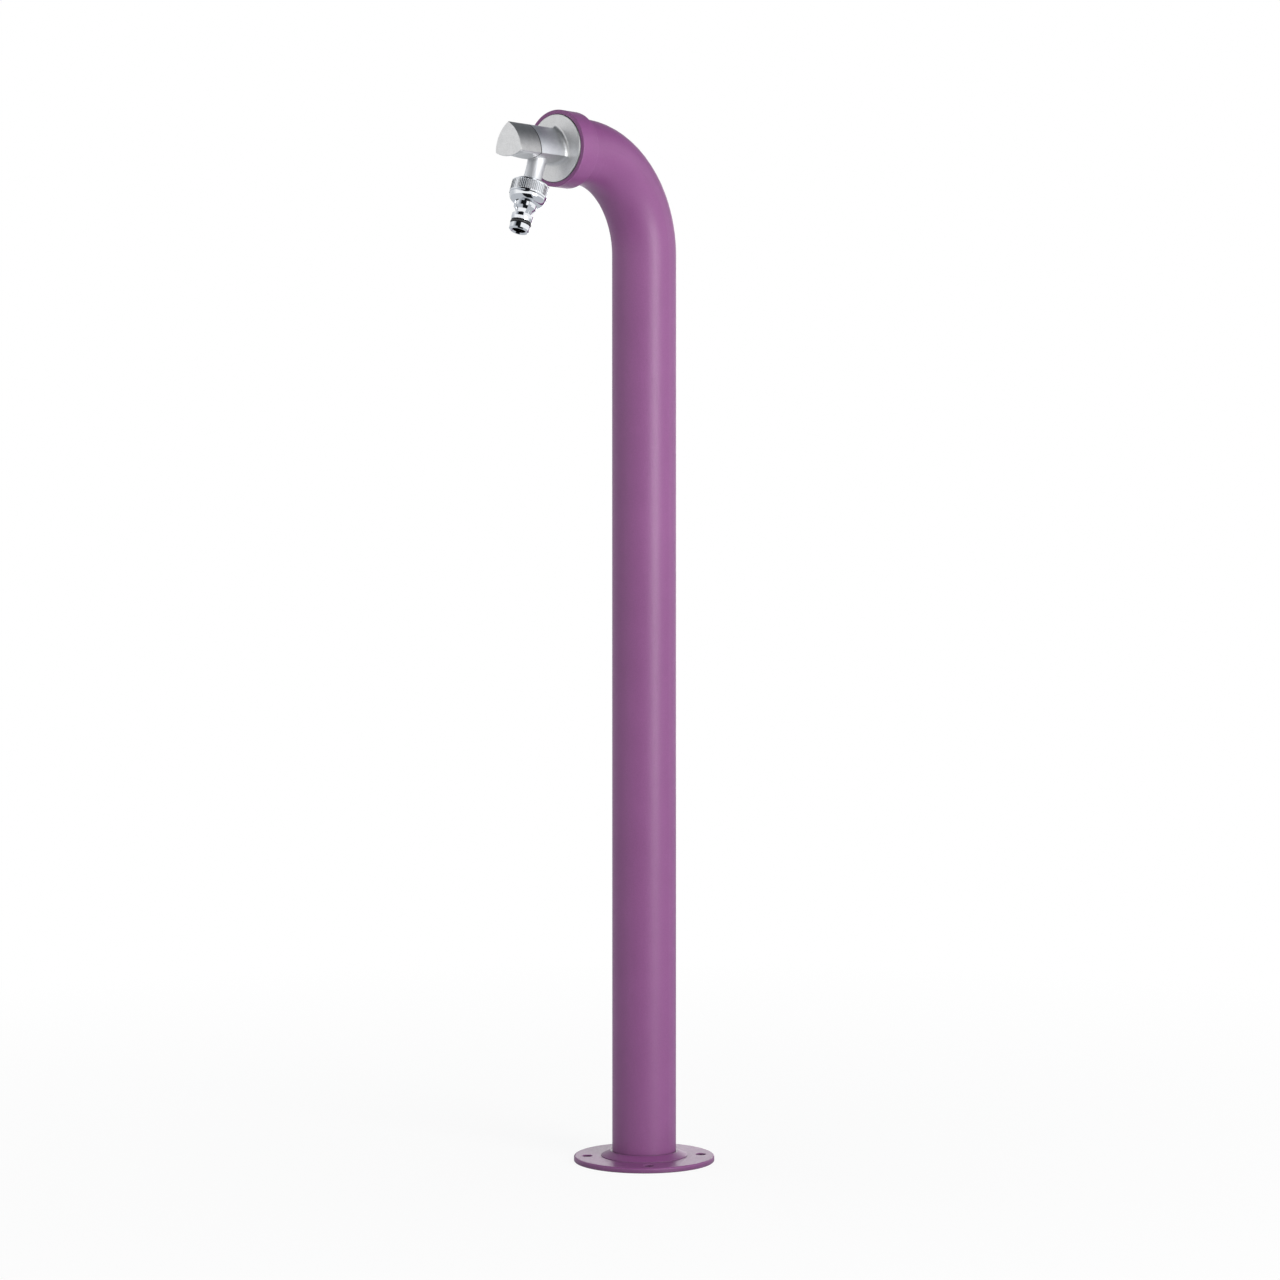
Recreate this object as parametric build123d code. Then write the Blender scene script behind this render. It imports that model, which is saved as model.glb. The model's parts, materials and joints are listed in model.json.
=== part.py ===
from build123d import *
import math
import os

# Garden standpipe: a bent steel post on a round base plate, with a quarter-turn
# tap in a collar at the end of its arm and a push-fit hose connector below.
# The origin is the middle of the base plate's underside. The arm points to -Y.
# Lengths are in millimetres and angles in degrees.

# Gaps and overrun shared by the pieces
weld_gap = 0.05        # round a piece welded, brazed or pushed into another
thread_gap = 0.1       # radial gap between a plain male and female thread
running_gap = 0.05     # radial gap of a shaft that turns in its bore
seal_gap = 0.05        # round a rubber ring in its seat
axial_gap = 0.1        # between end faces that turn past each other
cut_overrun = 2.0      # how far a cut runs past what it cuts

# Pipe threads, drawn as plain cylinders at their outside diameter
inlet_thread = 20.955       # half-inch pipe thread, at the inlet and the headwork
connector_thread = 26.441   # three-quarter-inch pipe thread

# Post: one bent tube
post_diameter = 60.0
post_wall = 2.0
arm_height = 936.8     # axis of the arm above the ground
bend_radius = 88.0     # on the tube's centreline
arm_straight = 27.0    # from the end of the bend to the mouth of the tube
foot_recess = 1.0      # end of the tube above the ground, for its weld

# Base plate with four bolt holes
base_diameter = 132.0
base_thickness = 5.0
base_edge_rounding = 1.4
base_foot_bevel = 0.4
bolt_hole = 9.6
bolt_edge_distance = 12.5   # middle of a hole from the plate's edge
bolt_count = 4
bolt_turn = 45.0
bolt_hole_bevel = 0.5

# Cone-shaped hub ring between plate and post
hub_foot_width = 10.5       # from the post's surface
hub_top_width = 1.8
hub_height = 4.6
hub_lip = 0.6               # upright edge at the foot of the cone

# Collar round the mouth of the tube
collar_wall = 4.7
collar_length = 20.0
collar_overhang = 8.5       # collar past the mouth of the tube
collar_step = 1.0           # from the tube's surface out to the counterbore
collar_rim_rounding = 0.7
collar_back_bevel = 0.6

# Screw that holds the tap in the collar
collar_screw = 4.0
collar_screw_turn = 30.0    # round the collar from its lowest point
collar_screw_inset = 2.6    # its axis from the back of the rosette
collar_screw_recess = 0.5
collar_screw_point = 2.6
collar_screw_bite = 0.8
collar_screw_socket = 2.0
collar_screw_socket_depth = 1.4

# Tap body: rosette, three-cornered barrel and inlet boss in one casting
rosette_gap = 0.5           # round the rosette in the collar
rosette_thickness = 8.0
rosette_bevel = 0.5
rosette_seal = 1.5
flare_radius = 3.6          # hollow between the rosette and the barrel
barrel_wall = 2.52          # thinnest, outside the headwork's thread
barrel_rounding = 0.8
barrel_bevel = 0.35
barrel_length = 34.2        # from the rosette to the split
inlet_boss_wall = 4.5
inlet_boss_length = 12.0
inlet_end_gap = 2.0         # bore beyond the end of the inlet's thread
waterway = 10.0
chamber_step = 1.28         # from the headwork's thread in to its chamber
chamber_depth = 22.6
chamber_thread_depth = 6.1

# Headwork: the ceramic cartridge in the barrel
capsule_gap = 0.9            # round the capsule in its chamber
capsule_wall = 0.9
capsule_end_gap = 1.0        # end of the capsule above the seat
seat_seal_thickness = 2.5
seat_seal_bore = 10.0
disc_gap = 0.1               # radial gap round the ceramic discs
fixed_disc_thickness = 3.0
moving_disc_thickness = 3.7
disc_core = 5.2              # between the two ports of a disc
disc_rim = 1.3               # round the ports of the fixed disc
disc_port_angle = 76.0
disc_slot_width = 3.2
disc_slot_depth = 1.3
thrust_washer_thickness = 0.6
hex_step = 2.48              # from the headwork's thread in to the flats
headwork_hex_length = 3.5
neck_step = 1.0              # from the flats in to the neck
headwork_neck_length = 3.0
headwork_ring_section = 1.8
window_length = 5.0

# Spindle through the headwork
spindle_diameter = 9.0
drive_thickness = 1.8
drive_tongue_share = 0.75    # length of the tongue as a share of the capsule's bore
spindle_ring_section = 1.6
spindle_ring_first = 5.0     # first ring in front of the drive plate
spindle_ring_spacing = 4.0
spline_step = 0.5            # from the spindle's surface in to the spline
spline_length = 14.0
spline_teeth = 20
spline_tooth_depth = 0.45
clip_thickness = 1.0
clip_diameter = 12.0
clip_bite = 0.8              # depth of the clip's groove
clip_opening = 5.0

# Handle: the turning front part of the barrel
split_gap = 0.4
handle_length = 27.0
handle_rounding = 0.6        # round the front face
scoop_land = 0.8             # left before and behind the scoop
scoop_depth = 3.2
guide_gap = 0.46             # round the corners of the headwork's hexagon
guide_end_gap = 0.2          # in front of the clip
grub_screw = 4.0
grub_screw_length = 5.0
grub_screw_setback = 2.2     # its axis behind the front end of the spline
grub_screw_socket = 2.0
grub_screw_socket_depth = 1.8
grub_screw_point = 2.4
grub_screw_bite = 0.6

# Outlet spout, which leans forwards below the barrel
spout_setback = 10.3         # its reference point behind the split
spout_drop = 14.7            # and below the axis of the tap
spout_lean = 20.7
spout_top_diameter = 17.2
spout_waist_diameter = 16.3
spout_foot_diameter = 17.6
spout_neck_length = 22.4
spout_bore = 9.0
spout_spigot_wall = 1.0
thread_head_length = 9.6
thread_head_bevel = 0.8

# Hose connector screwed to the spout
nut_wall = 3.85
nut_cover = 0.6              # nut above the top of the spout's thread
nut_floor = 0.5              # below the washer
nut_top_bevel = 1.3
nut_foot_step = 0.7
knurl_start = 2.1
knurl_end = 2.1
knurl_count = 60
knurl_depth = 0.5
washer_thickness = 2.5
washer_bore = 15.0
bowl_height = 6.6
bowl_swell = 1.6             # how far the bowl stands out past a straight cone
bowl_foot_diameter = 23.4
bowl_foot_step = 0.7
shoulder_diameter = 20.2
shoulder_length = 3.9
neck_taper = 0.7             # from the foot of the shoulder in to the neck
neck_taper_length = 2.5
neck_length = 3.3
latch_rise = 1.4             # slope up to the ring that a coupling grips
latch_length = 3.0
latch_tail = 2.8
latch_diameter = 19.5
latch_foot_diameter = 18.4
groove_width = 3.7
groove_wall = 0.8            # between the bore and the ring's groove
nozzle_ring_section = 2.8
tip_length = 5.5
tip_diameter = 18.4
tip_bevel = 1.1
nozzle_bore = 12.0
nozzle_wall = 1.0            # at the neck
rib_count = 4
rib_thickness = 2.6
rib_turn = 22.0

# Supply hose down the inside of the post, with a fitting at each end
hose_bore = 9.0
hose_wall = 2.5
hose_end_straight = 5.0      # between the bend and the top sleeve
hose_end_height = 78.0
inlet_seal = 1.5
tail_hex_step = 1.5          # from the inlet's thread out to the flats
tail_hex_length = 6.0
tail_thread_length = 12.0
tail_wall = 1.0
ferrule_length = 18.0
ferrule_wall = 1.2
foot_flange_step = 1.0       # from the flange out to the nut's thread
foot_flange_thickness = 2.5
foot_neck = 13.0
foot_neck_length = 6.5
swivel_nut_wall = 1.0
swivel_nut_relief = 0.4      # bore above the thread, wider by this all round
swivel_nut_length = 18.0
swivel_nut_top = 2.4
swivel_play = 0.25
nut_washer_thickness = 2.0

# Stations along the arm, measured from the post's axis
arm_reach = bend_radius + arm_straight
collar_front = arm_reach + collar_overhang
collar_back = collar_front - collar_length
rosette_back = arm_reach + rosette_seal
rosette_front = rosette_back + rosette_thickness
collar_screw_station = rosette_back + collar_screw_inset
barrel_front = rosette_front + barrel_length
boss_back = rosette_back - inlet_boss_length
seat_station = barrel_front - chamber_depth
thread_station = barrel_front - chamber_thread_depth
handle_back = barrel_front + split_gap
handle_front = handle_back + handle_length

# Diameters that follow the post
collar_diameter = post_diameter + 2 * collar_wall
collar_bore = post_diameter + 2 * collar_step
rosette_diameter = collar_bore - 2 * rosette_gap

# Widths that follow the headwork's thread
thread_bore = inlet_thread + 2 * thread_gap
flank_share = 1 - 1 / math.sqrt(3)    # a flank from the barrel's axis, of its width
barrel_width = (thread_bore / 2 + barrel_wall) / flank_share
chamber_bore = inlet_thread - 2 * chamber_step
capsule_diameter = chamber_bore - 2 * capsule_gap
capsule_bore = capsule_diameter - 2 * capsule_wall
disc_diameter = capsule_bore - 2 * disc_gap
headwork_hex = inlet_thread - 2 * hex_step
headwork_neck = headwork_hex - 2 * neck_step
guide_bore = headwork_hex * 2 / math.sqrt(3) + 2 * guide_gap

# Stations inside the headwork
fixed_disc_back = seat_station + seat_seal_thickness
moving_disc_back = fixed_disc_back + fixed_disc_thickness
drive_back = moving_disc_back + moving_disc_thickness
drive_front = drive_back + drive_thickness
capsule_shoulder = drive_front + thrust_washer_thickness + axial_gap
hex_front = barrel_front + headwork_hex_length
neck_front = hex_front + headwork_neck_length
clip_back = neck_front + axial_gap
clip_front = clip_back + clip_thickness
guide_end = clip_front + guide_end_gap
spline_back = guide_end - axial_gap
spline_front = spline_back + spline_length
grub_screw_station = spline_front - grub_screw_setback

# Diameters that follow the spindle
spline_diameter = spindle_diameter - 2 * spline_step
clip_groove = spindle_diameter - 2 * clip_bite
ring_groove = spindle_diameter - 2 * spindle_ring_section

# Stations down the spout, measured from its reference point
head_end = spout_neck_length + thread_head_length
washer_foot = head_end + washer_thickness
nut_top = spout_neck_length - nut_cover
nut_foot = washer_foot + nut_floor
bowl_foot = nut_foot + bowl_height
shoulder_top = bowl_foot + bowl_foot_step
shoulder_foot = shoulder_top + shoulder_length
neck_top = shoulder_foot + neck_taper_length
neck_foot = neck_top + neck_length
latch_top = neck_foot + latch_rise
latch_foot = latch_top + latch_length
groove_top = latch_foot + latch_tail
groove_foot = groove_top + groove_width
nozzle_end = groove_foot + tip_length

# Diameters that follow the connector's thread and bore
nut_diameter = connector_thread + 2 * thread_gap + 2 * nut_wall
neck_diameter = nozzle_bore + 2 * nozzle_wall
neck_top_diameter = neck_diameter + 2 * neck_taper
groove_diameter = nozzle_bore + 2 * groove_wall

# Sizes that follow the hose and the inlet's thread
hose_diameter = hose_bore + 2 * hose_wall
tail_bore = hose_bore - 2 * tail_wall
tail_hex = inlet_thread + 2 * tail_hex_step
tail_hex_front = boss_back - inlet_seal
hose_top_end = tail_hex_front - tail_hex_length
hose_bend_radius = hose_top_end - ferrule_length - hose_end_straight
foot_flange = inlet_thread - 2 * foot_flange_step
foot_flange_top = hose_end_height - foot_neck_length
foot_flange_back = foot_flange_top - foot_flange_thickness
relief_bore = thread_bore + 2 * swivel_nut_relief

# The tap's frame has Z along the arm and Y up, the spout's has Z down its bore
tap_frame = Location(Plane(origin=(0, 0, arm_height), x_dir=(1, 0, 0), z_dir=(0, -1, 0)))
spout_frame = Location(Plane(
    origin=(0, spout_setback - barrel_front, arm_height - spout_drop),
    x_dir=(1, 0, 0),
    z_dir=(0, -math.sin(math.radians(spout_lean)), -math.cos(math.radians(spout_lean))),
))

# The collar screw's frame has Z from the screw to the tap's axis
collar_screw_frame = Pos(0, -collar_screw_station, arm_height) * Rot(0, collar_screw_turn, 0)


def rod(diameter, start, end):
    """A round bar along Z between two stations."""
    bar = Cylinder(diameter / 2, end - start, align=(Align.CENTER, Align.CENTER, Align.MIN))
    return Pos(0, 0, start) * bar


def ring(outer, inner, start, end):
    """A plain ring about Z."""
    return rod(outer, start, end) - rod(inner, start - cut_overrun, end + cut_overrun)


def hexagon(across_flats, start, end):
    """A six-sided bar along Z."""
    section = RegularPolygon(across_flats / 2, 6, major_radius=False)
    return Pos(0, 0, start) * extrude(section, end - start)


def turned(*outline):
    """A solid of revolution about Z from points of radius and station."""
    corners = [(radius, 0, station) for radius, station in outline]
    return revolve(make_face(Polyline(*corners, close=True)), Axis.Z)


def round_ring(inner, section, station):
    """A rubber ring of round section, lying at one station."""
    return Pos(0, 0, station) * Torus((inner + section) / 2, section / 2)


def three_cornered_face(width, rounding):
    """Section of the barrel: three arcs, each centred on the opposite corner."""
    corner_radius = width / math.sqrt(3)
    flank_radius = width - corner_radius
    third = 360 / 3
    corners = [Vector(0, corner_radius).rotate(Axis.Z, third * turn) for turn in range(3)]
    flanks = [Vector(0, flank_radius).rotate(Axis.Z, third * (turn + 1 / 2)) for turn in range(3)]
    sides = [ThreePointArc(corners[turn], flanks[turn], corners[(turn + 1) % 3]) for turn in range(3)]
    return fillet(make_face(sides).vertices(), rounding)


def three_cornered_bar(width, start, end):
    """The barrel's section drawn along Z between two stations."""
    return Pos(0, 0, start) * extrude(three_cornered_face(width, barrel_rounding), end - start)


def set_screw(thread, length, point, bite, socket, socket_depth):
    """A headless screw along Z: socket at the start, plain point at the end."""
    screw = rod(thread, 0, length) + rod(point, 0, length + bite)
    return screw - hexagon(socket, -cut_overrun, socket_depth)


def post_tube():
    """Upright, bend and arm of the post in one tube."""
    foot = (0, 0, foot_recess)
    route = FilletPolyline(foot, (0, 0, arm_height), (0, -arm_reach, arm_height), radius=bend_radius)
    section = Circle(post_diameter / 2) - Circle(post_diameter / 2 - post_wall)
    return sweep(Pos(foot) * section, path=route)


def base_plate():
    """Round plate with a bore for the post and four bolt holes."""
    plate = rod(base_diameter, 0, base_thickness)
    plate = fillet(plate.edges().group_by(Axis.Z)[-1], base_edge_rounding)
    plate = chamfer(plate.edges().group_by(Axis.Z)[0], base_foot_bevel)
    plate -= rod(post_diameter + 2 * weld_gap, -cut_overrun, base_thickness + cut_overrun)
    mouth = bolt_hole / 2 + bolt_hole_bevel
    hole = turned(
        (0, -cut_overrun),
        (bolt_hole / 2, -cut_overrun),
        (bolt_hole / 2, base_thickness - bolt_hole_bevel),
        (mouth, base_thickness),
        (mouth, base_thickness + cut_overrun),
        (0, base_thickness + cut_overrun),
    )
    bolt_radius = base_diameter / 2 - bolt_edge_distance
    for place in PolarLocations(bolt_radius, bolt_count, start_angle=bolt_turn):
        plate -= place * hole
    return plate


def base_hub():
    """Cone-shaped ring that closes the corner between plate and post."""
    radius = post_diameter / 2
    top = base_thickness + hub_height
    return turned(
        (radius + weld_gap, base_thickness),
        (radius + hub_foot_width, base_thickness),
        (radius + hub_foot_width, base_thickness + hub_lip),
        (radius + hub_top_width, top),
        (radius + weld_gap, top),
    )


def outlet_collar():
    """Ring welded on the arm, counterbored for the rosette."""
    collar = rod(collar_diameter, collar_back, collar_front)
    collar = fillet(collar.edges().group_by(Axis.Z)[-1], collar_rim_rounding)
    collar = chamfer(collar.edges().group_by(Axis.Z)[0], collar_back_bevel)
    collar -= rod(post_diameter + 2 * weld_gap, collar_back - cut_overrun, collar_front)
    collar -= rod(collar_bore, arm_reach, collar_front + cut_overrun)
    collar = tap_frame * collar
    hole = rod(collar_screw + 2 * thread_gap, 0, collar_diameter / 2)
    return collar - collar_screw_frame * Pos(0, 0, -collar_diameter / 2) * hole


def collar_set_screw():
    """Headless screw through the collar into the rosette's edge."""
    seat = (collar_diameter - rosette_diameter) / 2
    screw = set_screw(
        collar_screw,
        seat - collar_screw_recess - thread_gap,
        collar_screw_point,
        collar_screw_bite,
        collar_screw_socket,
        collar_screw_socket_depth,
    )
    return collar_screw_frame * Pos(0, 0, collar_screw_recess - collar_diameter / 2) * screw


def rosette_gasket():
    """Flat rubber ring between the rosette and the mouth of the tube."""
    inner = post_diameter - 2 * post_wall
    return tap_frame * ring(rosette_diameter - 2 * thread_gap, inner, arm_reach, rosette_back)


def headwork_chamber():
    """The space in the barrel that the headwork screws into."""
    end = barrel_front + cut_overrun
    return rod(chamber_bore, seat_station, end) + rod(thread_bore, thread_station, end)


def flared_barrel():
    """Rosette and barrel, with a hollow curve from one to the other."""
    rosette = rod(rosette_diameter, rosette_back, rosette_front)
    rosette = chamfer(rosette.edges().group_by(Axis.Z)[-1], rosette_bevel)
    barrel = three_cornered_bar(barrel_width, rosette_back, barrel_front)
    barrel = chamfer(barrel.edges().group_by(Axis.Z)[-1], barrel_bevel)
    body = rosette + barrel
    near = rosette_bevel / 4
    rim_and_corner = body.edges().filter_by_position(Axis.Z, rosette_front - near, rosette_front + near)
    return fillet(rim_and_corner.sort_by(SortBy.LENGTH)[:-1], flare_radius)


def tap_body():
    """Rosette, barrel and inlet boss, bored for the headwork and the spout."""
    boss = inlet_thread + 2 * inlet_boss_wall
    inlet_end = boss_back + tail_thread_length + inlet_end_gap
    body = flared_barrel() + rod(boss, boss_back, rosette_back + rosette_bevel)
    body -= rod(thread_bore, boss_back - cut_overrun, inlet_end)
    body -= rod(waterway, boss_back, seat_station + cut_overrun)
    body = tap_frame * (body - headwork_chamber())
    spigot = spout_bore + 2 * spout_spigot_wall
    body -= spout_frame * rod(spigot + 2 * weld_gap, -spout_drop, cut_overrun)
    dimple = rod(collar_screw_point + 2 * thread_gap, 0, collar_screw_bite + thread_gap + cut_overrun)
    return body - collar_screw_frame * Pos(0, 0, -rosette_diameter / 2 - cut_overrun) * dimple


def outlet_spout():
    """Waisted neck with a threaded head, let into the barrel's underside."""
    top = (spout_top_diameter / 2, 0, 0)
    waist = (spout_waist_diameter / 2, 0, spout_neck_length / 2)
    foot = (spout_foot_diameter / 2, 0, spout_neck_length)
    root = (spout_top_diameter / 2, 0, -spout_drop)
    axis = [foot, (0, 0, spout_neck_length), (0, 0, -spout_drop), root, top]
    profile = [Polyline(*axis), ThreePointArc(top, waist, foot)]
    neck = spout_frame * revolve(make_face(profile), Axis.Z)
    neck -= tap_frame * three_cornered_bar(
        barrel_width + 2 * weld_gap, rosette_back, barrel_front + cut_overrun
    )
    spigot = spout_frame * rod(spout_bore + 2 * spout_spigot_wall, -spout_drop, spout_neck_length)
    spigot -= tap_frame * headwork_chamber()
    head = rod(connector_thread, spout_neck_length, head_end)
    head = chamfer(head.edges().filter_by(GeomType.CIRCLE), thread_head_bevel)
    spout = neck + spigot + spout_frame * head
    return spout - spout_frame * rod(spout_bore, -spout_drop, head_end + cut_overrun)


def disc_port(start, end, turn):
    """Cutter for one port of a ceramic disc: a sector outside the disc's core."""
    half = math.radians(disc_port_angle / 2)
    reach = disc_diameter
    corners = [(reach * math.sin(side), reach * math.cos(side)) for side in (-half, half)]
    sector = extrude(make_face(Polyline((0, 0), *corners, close=True)), end - start)
    return Rot(0, 0, turn) * (Pos(0, 0, start) * sector - rod(disc_core, start, end))


def headwork_body():
    """Brass capsule, thread, hexagon and neck of the cartridge."""
    capsule_end = seat_station + capsule_end_gap
    shoulder = thread_station + headwork_ring_section
    body = rod(capsule_diameter, capsule_end, shoulder)
    body += rod(inlet_thread, shoulder, barrel_front)
    body += hexagon(headwork_hex, barrel_front, hex_front)
    body += rod(headwork_neck, hex_front, neck_front)
    body -= rod(capsule_bore, capsule_end - cut_overrun, capsule_shoulder)
    body -= rod(spindle_diameter + 2 * running_gap, capsule_end, neck_front + cut_overrun)
    windows = [disc_port(moving_disc_back, moving_disc_back + window_length, turn) for turn in (0, 180)]
    return tap_frame * (body - windows)


def headwork_o_ring():
    """Rubber ring behind the headwork's thread."""
    section = headwork_ring_section - 2 * seal_gap
    station = thread_station + headwork_ring_section / 2
    return tap_frame * round_ring(capsule_diameter + 2 * seal_gap, section, station)


def seat_seal():
    """Rubber ring that the fixed disc presses on the seat."""
    return tap_frame * ring(disc_diameter, seat_seal_bore, seat_station, fixed_disc_back)


def fixed_ceramic_disc():
    """Disc with two closed ports, held in the capsule."""
    disc = rod(disc_diameter, fixed_disc_back, moving_disc_back)
    inside = rod(disc_diameter - 2 * disc_rim, fixed_disc_back, moving_disc_back)
    for turn in (0, 180):
        disc -= disc_port(fixed_disc_back, moving_disc_back, turn) & inside
    return tap_frame * disc


def moving_ceramic_disc():
    """Disc with two open ports, turned a quarter away from the fixed ones."""
    disc = rod(disc_diameter, moving_disc_back, drive_back)
    for turn in (90, 270):
        disc -= disc_port(moving_disc_back, drive_back, turn)
    slot = Box(disc_slot_width, disc_diameter, 2 * disc_slot_depth)
    return tap_frame * (disc - Pos(0, 0, drive_back) * slot)


def thrust_washer():
    """Plastic washer between the drive plate and the capsule's shoulder."""
    inner = spindle_diameter + 2 * thread_gap
    start = drive_front + axial_gap / 2
    return tap_frame * ring(disc_diameter, inner, start, start + thrust_washer_thickness)


def spindle_groove(floor, start, end):
    """Cutter for a groove round the spindle."""
    return ring(2 * spindle_diameter, floor, start, end)


def spindle():
    """Drive plate, shaft with two ring grooves and splined end."""
    shaft = rod(disc_diameter, drive_back, drive_front)
    shaft += Pos(0, 0, drive_back) * Box(
        disc_slot_width - 2 * running_gap,
        capsule_bore * drive_tongue_share,
        disc_slot_depth - running_gap,
        align=(Align.CENTER, Align.CENTER, Align.MAX),
    )
    shaft += rod(spindle_diameter, drive_front, spline_back)
    shaft += rod(spline_diameter, spline_back, spline_front)
    half_ring = spindle_ring_section / 2 + seal_gap
    for station in spindle_ring_stations():
        shaft -= spindle_groove(ring_groove, station - half_ring, station + half_ring)
    shaft -= spindle_groove(clip_groove, clip_back, clip_front)
    half_point = grub_screw_point / 2 + running_gap
    floor = spline_diameter - 2 * grub_screw_bite - 2 * running_gap
    shaft -= spindle_groove(floor, grub_screw_station - half_point, grub_screw_station + half_point)
    notch_side = spline_tooth_depth * math.sqrt(2)
    notch = Rot(0, 0, 45) * Box(notch_side, notch_side, 2 * spline_length)
    for place in PolarLocations(spline_diameter / 2, spline_teeth):
        shaft -= Pos(0, 0, spline_front) * place * notch
    return tap_frame * shaft


def spindle_ring_stations():
    """Middles of the two rubber rings on the spindle."""
    first = drive_front + spindle_ring_first
    return [first, first + spindle_ring_spacing]


def spindle_o_rings():
    """Two rubber rings in the spindle's grooves."""
    rings = [round_ring(ring_groove, spindle_ring_section, station) for station in spindle_ring_stations()]
    return Compound(children=[tap_frame * one for one in rings])


def spindle_clip():
    """Open clip that keeps the spindle in the headwork."""
    clip = ring(clip_diameter, clip_groove + 2 * weld_gap, clip_back, clip_front)
    alignment = (Align.CENTER, Align.MIN, Align.CENTER)
    mouth = Box(clip_opening, clip_diameter, 2 * clip_thickness, align=alignment)
    return tap_frame * (clip - Pos(0, 0, clip_back) * mouth)


def handle_guide_ring():
    """Plastic ring on the headwork's neck that the handle turns on."""
    outer = guide_bore - 2 * running_gap
    return tap_frame * ring(outer, headwork_neck + 2 * weld_gap, hex_front, neck_front)


def handle():
    """Front part of the barrel, hollow behind, with a scoop in its underside."""
    grip = three_cornered_bar(barrel_width, handle_back, handle_front)
    grip = chamfer(grip.edges().group_by(Axis.Z)[0], barrel_bevel)
    grip = fillet(grip.edges().group_by(Axis.Z)[-1], handle_rounding)
    half = handle_length / 2 - scoop_land
    scoop_radius = (half * half + scoop_depth * scoop_depth) / (2 * scoop_depth)
    scoop_centre = scoop_depth - barrel_width * flank_share - scoop_radius
    scoop = Rot(0, 90, 0) * Cylinder(scoop_radius, 2 * barrel_width)
    grip -= Pos(0, scoop_centre, (handle_back + handle_front) / 2) * scoop
    grip -= rod(guide_bore, handle_back - cut_overrun, guide_end)
    grip -= rod(spline_diameter + 2 * running_gap, handle_back, spline_front + axial_gap)
    hole = rod(grub_screw + 2 * thread_gap, -barrel_width, 0)
    return tap_frame * grip - Pos(0, -grub_screw_station, arm_height) * hole


def handle_grub_screw():
    """Headless screw from the scoop into the groove of the spline."""
    screw = set_screw(
        grub_screw,
        grub_screw_length,
        grub_screw_point,
        grub_screw_bite,
        grub_screw_socket,
        grub_screw_socket_depth,
    )
    height = arm_height - spline_diameter / 2 - running_gap - grub_screw_length
    return Pos(0, -grub_screw_station, height) * screw


def knurled_nut():
    """Upper part of the connector: a ring with straight knurling between two bands."""
    outer = nut_diameter / 2
    nut = turned(
        (0, nut_top),
        (outer - nut_top_bevel, nut_top),
        (outer, nut_top + nut_top_bevel),
        (outer, nut_foot - nut_foot_step),
        (outer - nut_foot_step, nut_foot),
        (0, nut_foot),
    )
    top = nut_top + knurl_start
    foot = nut_foot - knurl_end
    side = knurl_depth * math.sqrt(2)
    groove = Pos(0, 0, (top + foot) / 2) * Rot(0, 0, 45) * Box(side, side, foot - top)
    return nut - [place * groove for place in PolarLocations(outer, knurl_count)]


def nozzle():
    """Bowl and stepped nozzle below the nut, without their bore."""
    bowl_top_diameter = nut_diameter - 2 * nut_foot_step
    bowl_middle_diameter = (bowl_top_diameter + bowl_foot_diameter) / 2 + 2 * bowl_swell
    bowl_top = (bowl_top_diameter / 2, 0, nut_foot)
    bowl_middle = (bowl_middle_diameter / 2, 0, nut_foot + bowl_height / 2)
    bowl_end = (bowl_foot_diameter / 2, 0, bowl_foot)
    steps = [
        (shoulder_diameter, shoulder_top),
        (shoulder_diameter, shoulder_foot),
        (neck_top_diameter, neck_top),
        (neck_diameter, neck_foot),
        (latch_diameter, latch_top),
        (latch_diameter, latch_foot),
        (latch_foot_diameter, groove_top),
        (groove_diameter, groove_top),
        (groove_diameter, groove_foot),
        (tip_diameter, groove_foot),
        (tip_diameter, nozzle_end - tip_bevel),
        (tip_diameter - 2 * tip_bevel, nozzle_end),
        (0, nozzle_end),
        (0, nut_foot),
    ]
    corners = [(diameter / 2, 0, station) for diameter, station in steps]
    outline = [ThreePointArc(bowl_top, bowl_middle, bowl_end), Polyline(bowl_end, *corners, bowl_top)]
    return revolve(make_face(outline), Axis.Z)


def nozzle_rib():
    """One flat rib from the bowl's foot down the neck."""
    inside = neck_diameter / 2 - bowl_foot_step
    outside = shoulder_diameter / 2 + bowl_foot_step
    outline = Polyline(
        (inside, 0, shoulder_foot - rib_thickness),
        (outside, 0, shoulder_top),
        (outside, 0, shoulder_top + rib_thickness),
        (neck_diameter / 2, 0, neck_foot),
        (inside, 0, neck_foot),
        close=True,
    )
    return extrude(make_face(outline), rib_thickness / 2, both=True)


def hose_connector():
    """Knurled nut, bowl and nozzle, turned in one piece."""
    body = knurled_nut() + nozzle()
    rib = nozzle_rib()
    body += [Rot(0, 0, rib_turn) * place * rib for place in PolarLocations(0, rib_count)]
    body -= rod(connector_thread + 2 * thread_gap, nut_top - cut_overrun, washer_foot)
    body -= rod(nozzle_bore, nut_top, nozzle_end + cut_overrun)
    body -= turned(
        (0, nozzle_end - tip_bevel),
        (nozzle_bore / 2, nozzle_end - tip_bevel),
        (nozzle_bore / 2 + tip_bevel, nozzle_end),
        (nozzle_bore / 2 + tip_bevel, nozzle_end + cut_overrun),
        (0, nozzle_end + cut_overrun),
    )
    return spout_frame * body


def connector_washer():
    """Flat rubber washer between the spout's end and the connector."""
    return spout_frame * ring(connector_thread - 2 * thread_gap, washer_bore, head_end, washer_foot)


def connector_o_ring():
    """Rubber ring near the nozzle's tip."""
    station = (groove_top + groove_foot) / 2
    return spout_frame * round_ring(groove_diameter, nozzle_ring_section, station)


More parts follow.
